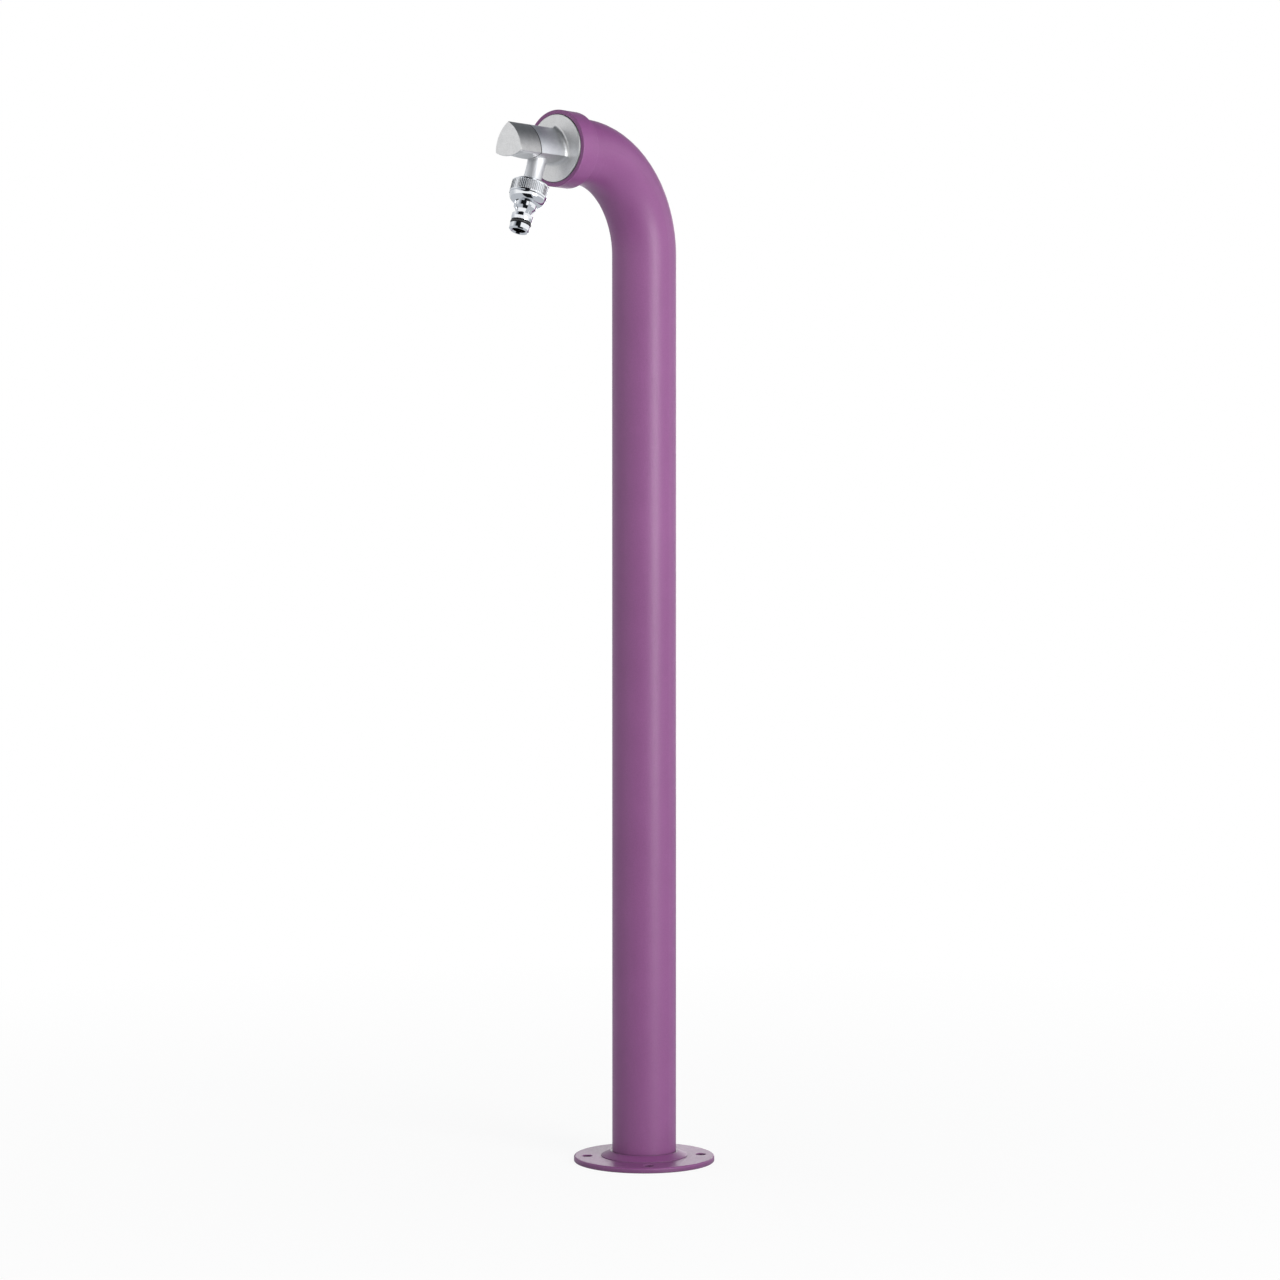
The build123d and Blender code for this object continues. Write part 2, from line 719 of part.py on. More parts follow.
def hose_top_fitting():
    """Male fitting in the tap's inlet, with a tail inside the hose."""
    tail_back = hose_top_end - ferrule_length
    thread_front = boss_back + tail_thread_length
    fitting = hexagon(tail_hex, hose_top_end, tail_hex_front)
    fitting += rod(inlet_thread, tail_hex_front, thread_front)
    fitting += rod(hose_bore - 2 * weld_gap, tail_back, tail_hex_front)
    return tap_frame * (fitting - rod(tail_bore, tail_back - cut_overrun, thread_front + cut_overrun))


def inlet_washer():
    """Fibre washer between the top fitting and the tap's inlet."""
    return tap_frame * ring(tail_hex, thread_bore, tail_hex_front, boss_back)


def ferrule():
    """Thin sleeve crimped round a hose end, from its open end at zero."""
    inner = hose_diameter + 2 * weld_gap
    return ring(inner + 2 * ferrule_wall, inner, 0, ferrule_length)


def hose_top_ferrule():
    """Sleeve at the tap end of the hose."""
    return tap_frame * Pos(0, 0, hose_top_end - ferrule_length) * ferrule()


def hose_foot_ferrule():
    """Sleeve at the foot end of the hose."""
    return Pos(0, 0, hose_end_height) * ferrule()


def supply_hose():
    """Braided hose up the post, round the bend and along the arm."""
    foot = (0, 0, hose_end_height)
    top = (0, -hose_top_end, arm_height)
    route = FilletPolyline(foot, (0, 0, arm_height), top, radius=hose_bend_radius)
    section = Circle(hose_diameter / 2) - Circle(hose_bore / 2)
    return sweep(Pos(foot) * section, path=route)


def hose_foot_fitting():
    """Flanged tail at the foot of the hose, which the swivel nut hangs on."""
    fitting = rod(foot_flange, foot_flange_back, foot_flange_top)
    fitting += rod(foot_neck, foot_flange_top, hose_end_height)
    fitting += rod(hose_bore - 2 * weld_gap, foot_flange_top, hose_end_height + ferrule_length)
    return fitting - rod(tail_bore, foot_flange_back - cut_overrun, arm_height)


def inlet_swivel_nut():
    """Female nut at the foot of the hose, where the ground pipe screws in."""
    thread_top = foot_flange_back - nut_washer_thickness
    relief_top = foot_flange_top + swivel_play
    top = relief_top + swivel_nut_top
    foot = top - swivel_nut_length
    nut = hexagon(relief_bore + 2 * swivel_nut_wall, foot, top)
    nut -= rod(thread_bore, foot - cut_overrun, thread_top)
    nut -= rod(relief_bore, thread_top, relief_top)
    return nut - rod(foot_neck + 2 * swivel_play, thread_top, top + cut_overrun)


def inlet_nut_washer():
    """Rubber washer under the foot fitting's flange."""
    return ring(foot_flange, tail_bore, foot_flange_back - nut_washer_thickness, foot_flange_back)


pieces = {
    "post_tube": post_tube,
    "base_plate": base_plate,
    "base_hub": base_hub,
    "outlet_collar": outlet_collar,
    "collar_set_screw": collar_set_screw,
    "rosette_gasket": rosette_gasket,
    "tap_body": tap_body,
    "outlet_spout": outlet_spout,
    "headwork_body": headwork_body,
    "headwork_o_ring": headwork_o_ring,
    "seat_seal": seat_seal,
    "fixed_ceramic_disc": fixed_ceramic_disc,
    "moving_ceramic_disc": moving_ceramic_disc,
    "thrust_washer": thrust_washer,
    "spindle": spindle,
    "spindle_o_rings": spindle_o_rings,
    "spindle_clip": spindle_clip,
    "handle_guide_ring": handle_guide_ring,
    "handle": handle,
    "handle_grub_screw": handle_grub_screw,
    "hose_connector": hose_connector,
    "connector_washer": connector_washer,
    "connector_o_ring": connector_o_ring,
    "hose_top_fitting": hose_top_fitting,
    "inlet_washer": inlet_washer,
    "hose_top_ferrule": hose_top_ferrule,
    "supply_hose": supply_hose,
    "hose_foot_ferrule": hose_foot_ferrule,
    "hose_foot_fitting": hose_foot_fitting,
    "inlet_swivel_nut": inlet_swivel_nut,
    "inlet_nut_washer": inlet_nut_washer,
}

os.makedirs("parts", exist_ok=True)
for name, make in pieces.items():
    export_step(make(), f"parts/{name}.step")
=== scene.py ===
import json
import math

import bmesh
import bpy
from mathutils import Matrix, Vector


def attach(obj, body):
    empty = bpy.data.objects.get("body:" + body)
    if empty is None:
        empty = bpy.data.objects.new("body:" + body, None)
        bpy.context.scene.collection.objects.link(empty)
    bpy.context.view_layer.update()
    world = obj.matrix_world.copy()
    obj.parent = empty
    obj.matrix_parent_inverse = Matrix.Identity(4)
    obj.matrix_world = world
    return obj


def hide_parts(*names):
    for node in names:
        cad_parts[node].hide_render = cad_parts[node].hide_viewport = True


# Looks of the garden standpipe: the finish of every piece, the thread on the spout,
# a plain pale floor, soft studio light and the camera. Lengths are in metres, in the
# frame of the solids: the post stands on the origin and its arm points to -Y.
# An azimuth turns about the post, from -Y at 0 to +X at 90 degrees. Of two tones the
# first is the darker, of two roughnesses the first is the smoother, and a range says
# where a change starts and ends.

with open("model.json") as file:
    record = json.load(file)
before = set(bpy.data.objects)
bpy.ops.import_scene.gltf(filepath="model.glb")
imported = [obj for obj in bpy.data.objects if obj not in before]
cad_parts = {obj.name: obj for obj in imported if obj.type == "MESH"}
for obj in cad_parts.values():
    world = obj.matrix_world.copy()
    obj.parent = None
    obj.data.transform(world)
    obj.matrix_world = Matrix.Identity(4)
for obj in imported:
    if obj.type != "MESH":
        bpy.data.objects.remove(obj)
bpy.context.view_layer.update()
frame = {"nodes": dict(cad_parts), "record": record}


def along_arm(node, pick):
    """Farthest place of a solid along the arm, in the sense of min or max."""
    return pick(vert.co.y for vert in frame["nodes"][node].data.vertices)


# Camera
camera_azimuth = 40.5
camera_distance = 2.985
camera_height = 0.5632
camera_lens = 89.61
camera_sensor = 36.0
camera_reach = 50.0
camera_aim_height = 0.4896
camera_aim_aside = -0.0039     # from the post's axis towards the camera's right

# Floor, and its glow for the camera: a share of white that grows with distance
floor_radius = 6.0
floor_corners = 96
floor_tone = (0.86, 0.86, 0.86, 1.0)
glow_near = 0.9
glow_range = (0.12, 1.5)

# Surroundings that the metal reflects, as brightness by direction: bright walls,
# highest at the sides, lowest behind and greyer on the left, a dark ceiling with a
# black opening in front, a dark patch of floor under it, and two dark gaps in the walls
wall_light = 1.08
ceiling_light = 0.17
ceiling_range = (0.32, 0.66)   # heights, as sines
side_rise = 0.3
back_drop = 0.25
left_azimuth = -80.0
left_light = 0.64
left_range = (0.7, 0.96)       # cosines of the angle to the left azimuth
opening_azimuth = 28.0
opening_elevation = 47.0
opening_width = 54.0
opening_light = 0.02
gap_azimuths = (-120.0, 178.0)
gap_width = 11.0
gap_light = 0.3
patch_blend_share = 1 / 6
floor_light = 0.6
dark_floor_range = (0.45, 0.585)
cool_light = (0.8, 0.88, 1.0)
white = (1.0, 1.0, 1.0)

# Shared by the finishes
noise_range = (0.35, 0.65)     # holds nearly all of a noise
flat_range = (0.9, 0.995)      # cosines between a rounded and a plain facet
ray_samples = 6

# Powder coat
coat_gloss = 1.5               # index of refraction
coat_tones = ((0.194, 0.058, 0.179), (0.24, 0.0755, 0.222))
coat_speckle = 0.0006
coat_speckle_share = 0.65
coat_patch = 0.07
coat_patch_share = 0.35
coat_roughness = (0.36, 0.46)
coat_grain = 0.0011
coat_grain_height = 0.00009
coat_waves_per_patch = 6
coat_wave_height = 0.0001
# Painted highlight: the coat's rounded edges are mixed towards a lighter tone
coat_edge_width = 0.0009
coat_edge_highlight_share = 0.55
coat_edge_highlight_tone = (0.46, 0.24, 0.44)
# Painted shade: the coat turns near black where ambient occlusion finds corners, holes and hollows within
# this reach
coat_shade_reach = 0.012
coat_shade_range = (0.25, 0.75)
coat_painted_shade_tone = (0.03, 0.01, 0.028)

# Satin casting of the tap body and the handle
# The casting's tone follows the way a facet looks, as painted light and shade: the handle's flanks take a
# darker tone, faces that look along the arm and undersides a lighter one
body_tones = ((0.75, 0.775, 0.815), (0.85, 0.87, 0.905))
face_tones = ((0.7, 0.7, 0.7), (0.82, 0.82, 0.82))
shaded_flank_tones = ((0.46, 0.46, 0.465), (0.57, 0.57, 0.575))
rosette_tones = ((0.62, 0.62, 0.62), (0.72, 0.72, 0.72))
face_range = (0.5, 0.9)        # cosines between a facet's direction and the arm
under_range = (-0.5, -0.2)     # sines of its direction above the level
cast_patch = 0.006
cast_patch_share = 0.4
cast_speckle = 0.0011
cast_speckle_share = 0.6
cast_speckle_height = 0.00004
cast_roughness = (0.36, 0.48)
cast_grain = 0.0004
cast_grain_height = 0.00003
cast_edge_width = 0.0005
# Bright edges: partly bare worn metal, partly a painted highlight
cast_worn_edge_highlight_tone = (0.88, 0.88, 0.885)
cast_edge_polish = 0.16
seam = (along_arm("handle", max) + along_arm("tap_body", min)) / 2
seam_blend = 0.0001
seam_width = 0.0007
seam_tone = (0.09, 0.09, 0.1)
flare_length = 0.012
flare_overlap = 0.0015         # how far the flare's change of tone passes the collar's face
flare_end = along_arm("outlet_collar", min) + flare_overlap
flare_range = (flare_end - flare_length, flare_end)

# Turned metal of the spout
turned_tone = (0.78, 0.795, 0.815, 1.0)
turned_roughness = (0.45, 0.53)
turned_grain_height = 0.000008

# Thread on the spout's head, its stations measured along the spout from the mount
# of the hose nozzle
thread_pitch = 0.001814
thread_top = -0.0317
thread_foot = -0.0237
thread_diameter = 0.026441
thread_radius = thread_diameter / 2
thread_depth = 0.00116
thread_rows = 10               # rows of faces for each turn
touch = 0.00002                # how near a point counts as on the head
weld = 0.000002                # how near two points count as one
sharp_angle = 35.0

# Chrome of the hose connector, and the knurl of its ring along the spout
chrome_tone = (0.8, 0.82, 0.85, 1.0)
chrome_roughness = (0.03, 0.09)
chrome_marks = 0.004
chrome_wave = 0.002
chrome_wave_height = 0.000006
knurl_start = -0.031
knurl_end = -0.022
knurl_blend = 0.0002
knurl_count = 60
knurl_swell = 0.00022

# Machined metals
machined_marks = 0.0008
machined_marks_height = 0.00001
machined_patch = 0.003
machined_roughness_span = 0.12

# Moulded rubber, plastic and fibre
moulded_grain = 0.0005
moulded_grain_height = 0.00002
moulded_patch = 0.002
moulded_roughness_span = 0.1

# Braid of the supply hose
braid_pitch = 0.0045
braid_strands = 12.0
braid_range = (-0.2, 0.8)
braid_height = 0.0003
braid_metal_share = 0.8
braid_roughness = 0.35
braid_tones = ((0.06, 0.06, 0.065), (0.6, 0.6, 0.61))


def add(tree, kind, inputs=None, **settings):
    """A node with its settings, its inputs filled with values or other nodes' outputs."""
    node = tree.nodes.new(kind)
    for name, value in settings.items():
        setattr(node, name, value)
    for name, value in (inputs or {}).items():
        if isinstance(value, bpy.types.NodeSocket):
            tree.links.new(value, node.inputs[name])
        else:
            node.inputs[name].default_value = value
    return node


def math_node(tree, operation, first, second=0.0):
    """Result of one sum on two values."""
    return add(tree, "ShaderNodeMath", {0: first, 1: second}, operation=operation).outputs[0]


def vector_node(tree, operation, first, second=(0.0, 0.0, 0.0)):
    """Result of one sum on two vectors, a plain value where the sum gives one."""
    node = add(tree, "ShaderNodeVectorMath", {0: first, 1: second}, operation=operation)
    return node.outputs["Value" if operation in ("DOT_PRODUCT", "LENGTH") else "Vector"]


def parts_of(tree, vector):
    """The X, Y and Z of a vector."""
    return add(tree, "ShaderNodeSeparateXYZ", {0: vector}).outputs


def new_material(name, **shader_values):
    """A material with its tree and its shader, and plain values set on the shader."""
    material = bpy.data.materials.new(name)
    material.use_nodes = True
    tree = material.node_tree
    shader = tree.nodes["Principled BSDF"]
    for socket, value in shader_values.items():
        shader.inputs[socket.replace("_", " ")].default_value = value
    return material, tree, shader


def link(tree, shader, **sockets):
    """Connects values to the shader's sockets."""
    for socket, value in sockets.items():
        tree.links.new(value, shader.inputs[socket.replace("_", " ")])


def place_on_piece(tree):
    """Coordinates fixed to the piece, in metres."""
    return add(tree, "ShaderNodeTexCoord").outputs["Object"]


def noise(tree, size, detail=2.0, roughness=0.5):
    """Grey noise with features of one size."""
    inputs = {"Vector": place_on_piece(tree), "Scale": 1 / size, "Detail": detail, "Roughness": roughness}
    return add(tree, "ShaderNodeTexNoise", inputs).outputs["Fac"]


def spread(tree, value, low, high, start=noise_range[0], end=noise_range[1]):
    """A value between start and end, spread over a new range."""
    inputs = {"Value": value, "From Min": start, "From Max": end, "To Min": low, "To Max": high}
    return add(tree, "ShaderNodeMapRange", inputs).outputs["Result"]


def rise(tree, value, start, end):
    """Zero up to start and one from end on."""
    return spread(tree, value, 0.0, 1.0, start, end)


def fall(tree, value, start, end):
    """One up to start and zero from end on."""
    return spread(tree, value, 1.0, 0.0, start, end)


def between(tree, factor, first, second):
    """A colour between two others, each three values or another node's colour."""
    ends = [end if isinstance(end, bpy.types.NodeSocket) else (*end, 1.0) for end in (first, second)]
    inputs = {"Factor": factor, 6: ends[0], 7: ends[1]}
    return add(tree, "ShaderNodeMix", inputs, data_type="RGBA").outputs[2]


def edge_mask(tree, width):
    """One along the edges of a piece and zero on its flat faces."""
    rounded = add(tree, "ShaderNodeBevel", {"Radius": width}, samples=ray_samples).outputs["Normal"]
    flat = add(tree, "ShaderNodeNewGeometry").outputs["Normal"]
    return fall(tree, vector_node(tree, "DOT_PRODUCT", rounded, flat), *flat_range)


def bumps(tree, shader, *layers):
    """Heights in metres, one on another, as the shader's bump."""
    normal = None
    for height, depth in layers:
        inputs = {"Height": height, "Distance": depth, "Strength": 1.0}
        if normal is not None:
            inputs["Normal"] = normal
        normal = add(tree, "ShaderNodeBump", inputs).outputs["Normal"]
    tree.links.new(normal, shader.inputs["Normal"])


def powder_coat():
    """Matte purple powder coat with a fine texture, a painted highlight on its edges and painted shade in
    corners and holes.
    """
    material, tree, shader = new_material("powder_coat", IOR=coat_gloss)
    speckle = spread(tree, noise(tree, coat_speckle, detail=3.0), 0.0, coat_speckle_share)
    cloud = spread(tree, noise(tree, coat_patch), 0.0, coat_patch_share)
    colour = between(tree, math_node(tree, "ADD", speckle, cloud), *coat_tones)
    # painted highlight: the edges are mixed towards a lighter tone
    edges = math_node(tree, "MULTIPLY", edge_mask(tree, coat_edge_width), coat_edge_highlight_share)
    colour = between(tree, edges, colour, coat_edge_highlight_tone)
    # painted shade in corners, holes and hollows, found by ambient occlusion
    inputs = {"Distance": coat_shade_reach}
    unshaded = add(tree, "ShaderNodeAmbientOcclusion", inputs, samples=ray_samples).outputs["AO"]
    colour = between(tree, rise(tree, unshaded, *coat_shade_range), coat_painted_shade_tone, colour)
    link(tree, shader, Base_Color=colour, Roughness=spread(tree, noise(tree, coat_grain), *coat_roughness))
    grain = noise(tree, coat_grain, detail=3.0)
    wave = noise(tree, coat_patch / coat_waves_per_patch)
    bumps(tree, shader, (grain, coat_grain_height), (wave, coat_wave_height))
    return material


def cast_metal():
    """Blasted satin casting with painted shade on the handle's flanks, painted light on faces and undersides,
    and bright edges that are bare worn metal and painted highlight.
    """
    material, tree, shader = new_material("satin_cast", Metallic=1.0)
    place = parts_of(tree, place_on_piece(tree))
    facet = parts_of(tree, add(tree, "ShaderNodeTexCoord").outputs["Normal"])
    cloud = spread(tree, noise(tree, cast_patch, detail=3.0), 0.0, cast_patch_share)
    speckle = spread(tree, noise(tree, cast_speckle), 0.0, cast_speckle_share)
    blasted = math_node(tree, "ADD", cloud, speckle)
    all_tones = (body_tones, face_tones, shaded_flank_tones, rosette_tones)
    body, face, shaded_flank, rosette = [between(tree, blasted, *tones) for tones in all_tones]
    # painted light and shade by facet direction: faces along the arm and undersides take the lighter face
    # tone, the handle's flanks the darker flank tone
    on_face = rise(tree, math_node(tree, "ABSOLUTE", facet["Y"]), *face_range)
    off_flank = math_node(tree, "MAXIMUM", on_face, fall(tree, facet["Z"], *under_range))
    on_body = rise(tree, place["Y"], seam - seam_blend, seam + seam_blend)
    on_rosette = rise(tree, place["Y"], *flare_range)
    behind_seam = between(tree, on_rosette, between(tree, off_flank, body, face), rosette)
    colour = between(tree, on_body, between(tree, off_flank, shaded_flank, face), behind_seam)
    # bright edges, partly bare worn metal and partly painted highlight
    edges = edge_mask(tree, cast_edge_width)
    colour = between(tree, edges, colour, cast_worn_edge_highlight_tone)
    off_seam = math_node(tree, "ABSOLUTE", math_node(tree, "SUBTRACT", place["Y"], seam))
    colour = between(tree, rise(tree, off_seam, seam_width / 2, seam_width), seam_tone, colour)
    grain = noise(tree, cast_grain, detail=4.0, roughness=0.6)
    polish = math_node(tree, "MULTIPLY", edges, cast_edge_polish)
    roughness = math_node(tree, "SUBTRACT", spread(tree, grain, *cast_roughness), polish)
    link(tree, shader, Base_Color=colour, Roughness=roughness)
    bumps(tree, shader, (grain, cast_grain_height), (noise(tree, cast_speckle), cast_speckle_height))
    return material


def spout_axis():
    """A point on the spout's axis, its direction and two directions across it."""
    mount = next(one for one in frame["record"]["mounts"] if one["name"] == "hose_nozzle")
    axis = Vector(mount["axis"])
    across = Vector((1.0, 0.0, 0.0))
    return Vector(mount["pos_m"]), axis, across, axis.cross(across)


def on_spout(point):
    """Station along the spout, distance from its axis and angle round it."""
    origin, axis, across, upright = spout_axis()
    offset = point - origin
    station = offset.dot(axis)
    away = offset - axis * station
    return station, away.length, math.atan2(away.dot(upright), away.dot(across))


def knurl(tree):
    """Rounding between the grooves of the connector's ring, from one at a groove."""
    origin, *ways = spout_axis()
    offset = vector_node(tree, "SUBTRACT", place_on_piece(tree), origin)
    station, across, upright = [vector_node(tree, "DOT_PRODUCT", offset, way) for way in ways]
    angle = math_node(tree, "ARCTAN2", upright, across)
    below_top = rise(tree, station, knurl_start, knurl_start + knurl_blend)
    above_foot = fall(tree, station, knurl_end - knurl_blend, knurl_end)
    wave = math_node(tree, "COSINE", math_node(tree, "MULTIPLY", angle, float(knurl_count)))
    return math_node(tree, "MULTIPLY", wave, math_node(tree, "MULTIPLY", below_top, above_foot))


def turned_metal():
    """Smooth satin metal of the spout."""
    material, tree, shader = new_material("satin_turned", Metallic=1.0, Base_Color=turned_tone)
    grain = noise(tree, cast_grain)
    link(tree, shader, Roughness=spread(tree, grain, *turned_roughness))
    bumps(tree, shader, (grain, turned_grain_height))
    return material


def chrome():
    """Polished chrome plate with faint marks of use."""
    material, tree, shader = new_material("polished_chrome", Metallic=1.0, Base_Color=chrome_tone)
    marks = noise(tree, chrome_marks, detail=4.0, roughness=0.65)
    link(tree, shader, Roughness=spread(tree, marks, *chrome_roughness))
    bumps(tree, shader, (knurl(tree), -knurl_swell / 2), (noise(tree, chrome_wave), chrome_wave_height))
    return material


def machined_metal(name, tones, roughness):
    """Plain metal with fine machining marks."""
    material, tree, shader = new_material(name, Metallic=1.0)
    marks = noise(tree, machined_marks, detail=3.0)
    colour = between(tree, rise(tree, marks, *noise_range), *tones)
    cloud = noise(tree, machined_patch, detail=3.0)
    rough = spread(tree, cloud, roughness, roughness + machined_roughness_span)
    link(tree, shader, Base_Color=colour, Roughness=rough)
    bumps(tree, shader, (marks, machined_marks_height))
    return material


def moulded(name, tones, roughness):
    """Rubber, plastic or fibre with a fine moulded grain."""
    material, tree, shader = new_material(name)
    grain = noise(tree, moulded_grain, detail=3.0)
    colour = between(tree, rise(tree, grain, *noise_range), *tones)
    rough = spread(tree, noise(tree, moulded_patch), roughness, roughness + moulded_roughness_span)
    link(tree, shader, Base_Color=colour, Roughness=rough)
    bumps(tree, shader, (grain, moulded_grain_height))
    return material


def braid():
    """Steel braid over the supply hose: two sets of crossing strands."""
    material, tree, shader = new_material(
        "braided_hose", Metallic=braid_metal_share, Roughness=braid_roughness)
    place = parts_of(tree, place_on_piece(tree))
    angle = math_node(tree, "MULTIPLY", math_node(tree, "ARCTAN2", place["Y"], place["X"]), braid_strands)
    climb = math_node(tree, "MULTIPLY", place["Z"], 2 * math.pi / braid_pitch)
    one = math_node(tree, "SINE", math_node(tree, "ADD", angle, climb))
    other = math_node(tree, "SINE", math_node(tree, "SUBTRACT", angle, climb))
    strands = math_node(tree, "MAXIMUM", one, other)
    link(tree, shader, Base_Color=between(tree, rise(tree, strands, *braid_range), *braid_tones))
    bumps(tree, shader, (strands, braid_height))
    return material


def finishes():
    """One material for each slot of the record."""
    brass = ((0.62, 0.42, 0.15), (0.78, 0.58, 0.27))
    stainless = ((0.48, 0.47, 0.46), (0.62, 0.61, 0.6))
    rubber = ((0.012, 0.012, 0.013), (0.026, 0.026, 0.028))
    ceramic = ((0.8, 0.79, 0.75), (0.88, 0.87, 0.84))
    plastic = ((0.74, 0.74, 0.72), (0.84, 0.84, 0.82))
    fibre = ((0.26, 0.03, 0.02), (0.4, 0.07, 0.045))
    return {
        "powder_coat": powder_coat(),
        "satin_cast": cast_metal(),
        "satin_turned": turned_metal(),
        "polished_chrome": chrome(),
        "brass": machined_metal("brass", brass, roughness=0.22),
        "stainless": machined_metal("stainless", stainless, roughness=0.26),
        "black_rubber": moulded("black_rubber", rubber, roughness=0.24),
        "ceramic": moulded("ceramic", ceramic, roughness=0.2),
        "white_plastic": moulded("white_plastic", plastic, roughness=0.4),
        "red_fibre": moulded("red_fibre", fibre, roughness=0.65),
        "braided_hose": braid(),
    }


def dress_solids(materials):
    """Gives every solid the material of its slot."""
    for part in frame["record"]["subparts"]:
        mesh = frame["nodes"][part["node"]].data
        mesh.materials.clear()
        mesh.materials.append(materials[part["material_slot"]])


def place_object(name, data):
    """A new object of the scene around its data."""
    piece = bpy.data.objects.new(name, data)
    bpy.context.collection.objects.link(piece)
    return piece


def thread_groove(station, angle):
    """Depth of the thread below its crest, fading out over half a turn at both ends."""
    phase = (station / thread_pitch - angle / (2 * math.pi)) % 1.0
    end = min(station - thread_top, thread_foot - station)
    fade = min(1.0, 2 * end / thread_pitch)
    return thread_depth * fade * (1 - abs(2 * phase - 1))


def thread_ring(shape, station, angles):
    """Points round the thread at one station."""
    origin, axis, across, upright = spout_axis()
    ring = []
    for angle in angles:
        outward = across * math.cos(angle) + upright * math.sin(angle)
        radius = thread_radius - thread_groove(station, angle)
        ring.append(shape.verts.new(origin + axis * station + outward * radius))
    return ring


def on_head(point):
    """Whether a point lies on the round of the spout's head."""
    station, radius, angle = on_spout(point)
    inside = thread_top - touch < station < thread_foot + touch
    return inside and abs(radius - thread_radius) < touch


def cut_thread(shape):
    """Puts a thread in place of the plain round of the spout's head."""
    plain = [face for face in shape.faces if all(on_head(vert.co) for vert in face.verts)]
    ends = {vert for face in plain for vert in face.verts}
    bmesh.ops.delete(shape, geom=plain, context="FACES")
    around = sorted(ends, key=lambda vert: on_spout(vert.co)[2])
    middle = (thread_top + thread_foot) / 2
    top = [vert for vert in around if on_spout(vert.co)[0] < middle]
    foot = [vert for vert in around if on_spout(vert.co)[0] > middle]
    angles = [on_spout(vert.co)[2] for vert in top]
    length = thread_foot - thread_top
    count = round(thread_rows * length / thread_pitch)
    stations = [thread_top + length * row / count for row in range(1, count)]
    rows = [top, *(thread_ring(shape, station, angles) for station in stations), foot]
    for upper, lower in zip(rows, rows[1:]):
        for here in range(len(angles)):
            shape.faces.new((upper[here - 1], upper[here], lower[here], lower[here - 1]))


def keep_normals(mesh):
    """Gives the faces taken from the solid the normals they had there."""
    stored = mesh.attributes["kept_normal"]
    normals = []
    for corner, own in zip(stored.data, mesh.corner_normals):
        taken = any(corner.vector)
        normals.append(tuple(corner.vector if taken else own.vector))
    mesh.attributes.remove(stored)
    mesh.normals_split_custom_set(normals)


def threaded_spout(material):
    """The spout with the thread on its head, in place of the plain solid."""
    solid = frame["nodes"]["outlet_spout"].data
    shape = bmesh.new()
    shape.from_mesh(solid)
    kept = shape.loops.layers.float_vector.new("kept_normal")
    for face in shape.faces:
        for corner in face.loops:
            corner[kept] = solid.corner_normals[corner.index].vector
    bmesh.ops.remove_doubles(shape, verts=shape.verts, dist=weld)
    cut_thread(shape)
    bmesh.ops.recalc_face_normals(shape, faces=shape.faces)
    for face in shape.faces:
        face.smooth = True
    mesh = bpy.data.meshes.new("threaded_spout")
    shape.to_mesh(mesh)
    shape.free()
    mesh.set_sharp_from_angle(angle=math.radians(sharp_angle))
    keep_normals(mesh)
    mesh.materials.append(material)
    piece = place_object("threaded_spout", mesh)
    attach(piece, "root")
    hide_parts("outlet_spout")


def direction(azimuth, elevation=0.0):
    """Unit vector at an azimuth and elevation in degrees."""
    turn = math.radians(azimuth)
    lift = math.radians(elevation)
    return Vector((math.sin(turn) * math.cos(lift), -math.cos(turn) * math.cos(lift), math.sin(lift)))


def facing(tree, where, azimuth, elevation=0.0):
    """How closely a direction points to an azimuth and elevation, up to one."""
    return vector_node(tree, "DOT_PRODUCT", where, direction(azimuth, elevation))


def patch(tree, where, azimuth, elevation, width, light):
    """Brightness by direction: its own level in a round patch, and full outside it."""
    edge = math.cos(math.radians(width / 2))
    soft = (1 - edge) * patch_blend_share
    toward = facing(tree, where, azimuth, elevation)
    return spread(tree, toward, 1.0, light, edge - soft, edge + soft)


def floor_material():
    """Pale floor that meets the white background and keeps the object's shadow."""
    material = bpy.data.materials.new("floor")
    material.use_nodes = True
    tree = material.node_tree
    tree.nodes.remove(tree.nodes["Principled BSDF"])
    matte = add(tree, "ShaderNodeBsdfDiffuse", {"Color": floor_tone}).outputs[0]
    place = place_on_piece(tree)
    distance = vector_node(tree, "LENGTH", place)
    outward = vector_node(tree, "NORMALIZE", place)
    shade = patch(tree, outward, opening_azimuth, 0.0, opening_width, opening_light)
    near = fall(tree, distance, *dark_floor_range)
    level = math_node(tree, "MULTIPLY", math_node(tree, "MAXIMUM", shade, near), floor_light)
    inputs = {"Color": between(tree, level, cool_light, white), "Strength": level}
    reflected = add(tree, "ShaderNodeEmission", inputs).outputs[0]
    glow = add(tree, "ShaderNodeEmission", {"Strength": 1.0}).outputs[0]
    share = spread(tree, distance, glow_near, 1.0, *glow_range)
    path = add(tree, "ShaderNodeLightPath").outputs
    for_camera = add(tree, "ShaderNodeMixShader", {0: share, 1: matte, 2: glow}).outputs[0]
    mirrored = math_node(tree, "MAXIMUM", path["Is Glossy Ray"], path["Is Transmission Ray"])
    others = add(tree, "ShaderNodeMixShader", {0: mirrored, 1: matte, 2: reflected}).outputs[0]
    final = add(tree, "ShaderNodeMixShader", {0: path["Is Camera Ray"], 1: others, 2: for_camera}).outputs[0]
    tree.links.new(final, tree.nodes["Material Output"].inputs["Surface"])
    return material


def floor():
    """Wide round floor under the object."""
    mesh = bpy.data.meshes.new("floor")
    shape = bmesh.new()
    bmesh.ops.create_circle(shape, cap_ends=True, radius=floor_radius, segments=floor_corners)
    shape.to_mesh(mesh)
    shape.free()
    mesh.materials.append(floor_material())
    piece = place_object("floor", mesh)


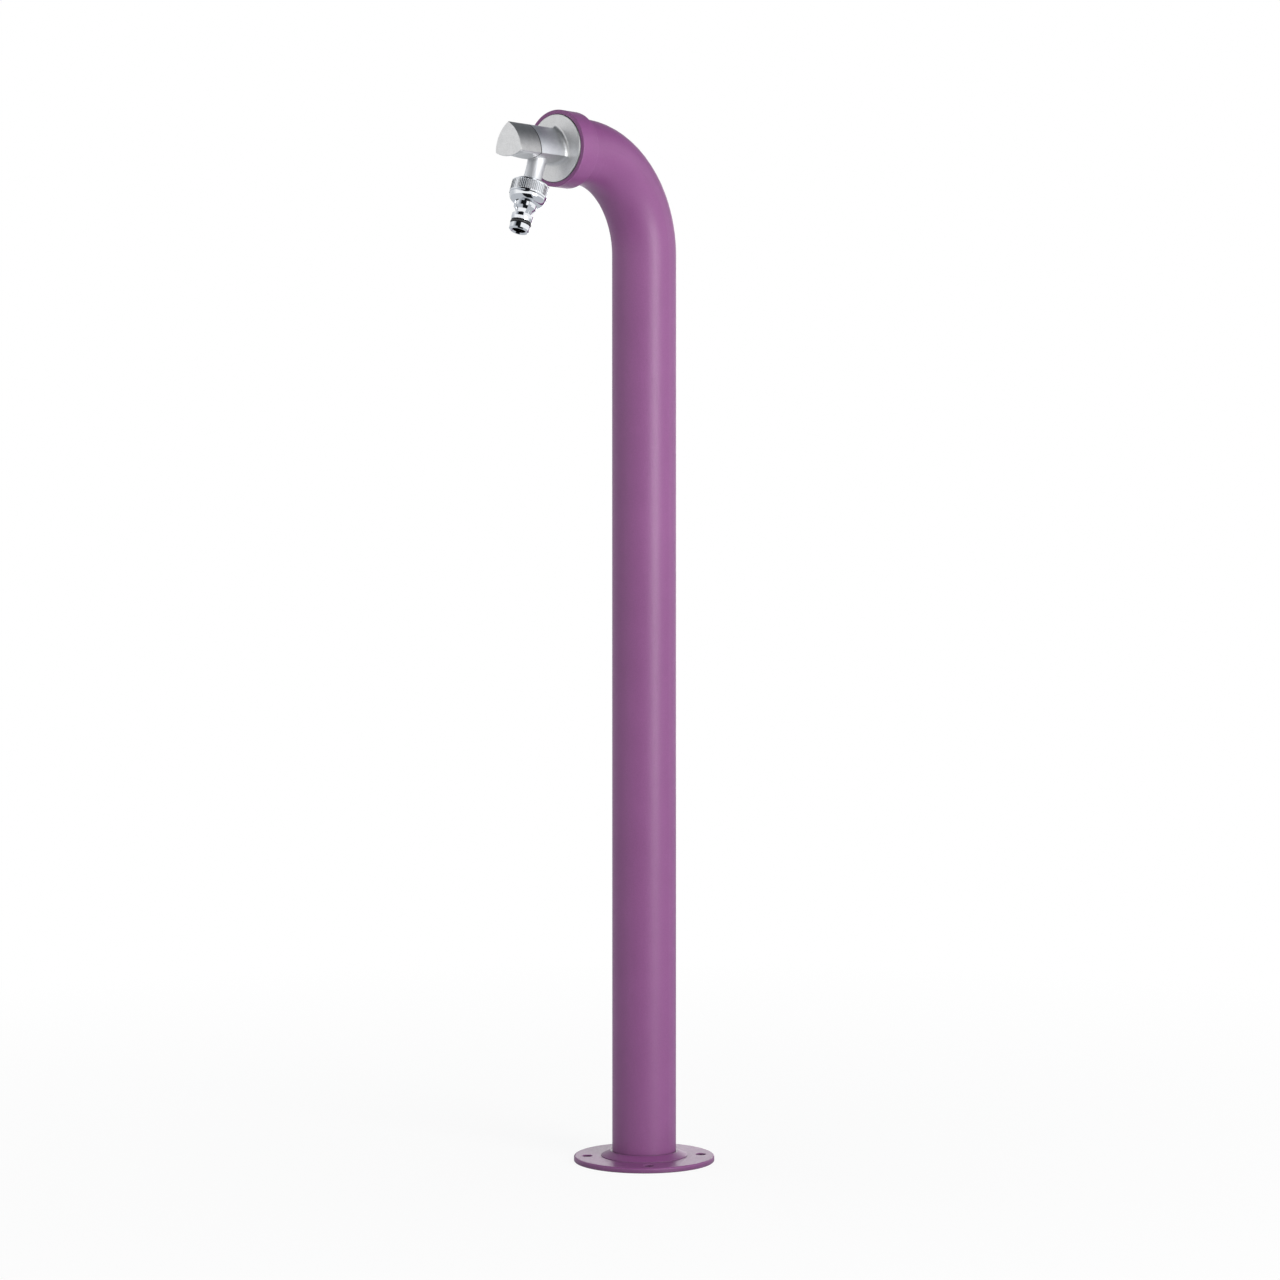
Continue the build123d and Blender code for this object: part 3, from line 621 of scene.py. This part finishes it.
def room_light(tree, where):
    """Brightness of the room by direction."""
    parts = parts_of(tree, where)
    aside = math_node(tree, "MULTIPLY", math_node(tree, "ABSOLUTE", parts["X"]), side_rise)
    behind = math_node(tree, "MULTIPLY", math_node(tree, "MAXIMUM", parts["Y"], 0.0), back_drop)
    level = math_node(tree, "ADD", math_node(tree, "SUBTRACT", parts["Z"], aside), behind)
    light = spread(tree, level, wall_light, ceiling_light, *ceiling_range)
    flat = vector_node(tree, "MULTIPLY", where, (1.0, 1.0, 0.0))
    level_way = vector_node(tree, "NORMALIZE", flat)
    shades = [
        spread(tree, facing(tree, where, left_azimuth), 1.0, left_light, *left_range),
        patch(tree, where, opening_azimuth, opening_elevation, opening_width, opening_light),
        *(patch(tree, level_way, azimuth, 0.0, gap_width, gap_light) for azimuth in gap_azimuths),
    ]
    for shade in shades:
        light = math_node(tree, "MULTIPLY", light, shade)
    return light


def surroundings():
    """White background for the camera, and a studio for the metal to reflect."""
    world = bpy.data.worlds.new("studio")
    bpy.context.scene.world = world
    world.use_nodes = True
    tree = world.node_tree
    light = room_light(tree, add(tree, "ShaderNodeTexCoord").outputs["Generated"])
    path = add(tree, "ShaderNodeLightPath").outputs
    inputs = {"Factor": path["Is Camera Ray"], 2: light, 3: 1.0}
    strength = add(tree, "ShaderNodeMix", inputs, data_type="FLOAT").outputs[0]
    background = tree.nodes["Background"]
    link(tree, background, Strength=strength, Color=between(tree, strength, cool_light, white))


def aim(piece, target):
    """Turns a camera or lamp to a point."""
    piece.rotation_euler = (target - piece.location).to_track_quat("-Z", "Y").to_euler()


def softbox(name, azimuth, elevation, distance, width, height, power, aim_height, mirrored=True):
    """A large soft lamp that faces the post, shown or not shown in reflections."""
    data = bpy.data.lights.new(name, "AREA")
    data.shape = "RECTANGLE"
    data.size = width
    data.size_y = height
    data.energy = power
    lamp = place_object(name, data)
    lamp.visible_glossy = mirrored
    target = Vector((0.0, 0.0, aim_height))
    lamp.location = target + direction(azimuth, elevation) * distance
    aim(lamp, target)


def camera():
    """Camera at the photograph's viewing angle, aimed at the middle of the post."""
    data = bpy.data.cameras.new("camera")
    data.lens = camera_lens
    data.sensor_width = camera_sensor
    data.clip_end = camera_reach
    piece = place_object("camera", data)
    piece.location = direction(camera_azimuth) * camera_distance + Vector((0.0, 0.0, camera_height))
    aside = direction(camera_azimuth + 90.0) * camera_aim_aside
    aim(piece, aside + Vector((0.0, 0.0, camera_aim_height)))
    bpy.context.scene.camera = piece


camera()
materials = finishes()
dress_solids(materials)
threaded_spout(materials["satin_turned"])
floor()
surroundings()

softbox("key", azimuth=81.0, elevation=0.0, distance=2.6, width=1.1, height=1.2, power=32.0, aim_height=0.8)
softbox("side", azimuth=81.0, elevation=20.0, distance=2.6, width=1.1, height=1.1, power=22.0,
        aim_height=1.0, mirrored=False)
for name, azimuth in (("left", -75.0), ("rear", 170.0)):
    softbox(name, azimuth, elevation=15.0, distance=3.0, width=1.5, height=1.5, power=9.0,
            aim_height=0.5, mirrored=False)
softbox("back", azimuth=214.0, elevation=11.0, distance=3.0, width=1.2, height=1.4, power=8.0, aim_height=0.2)

bpy.context.scene.view_settings.view_transform = "Standard"
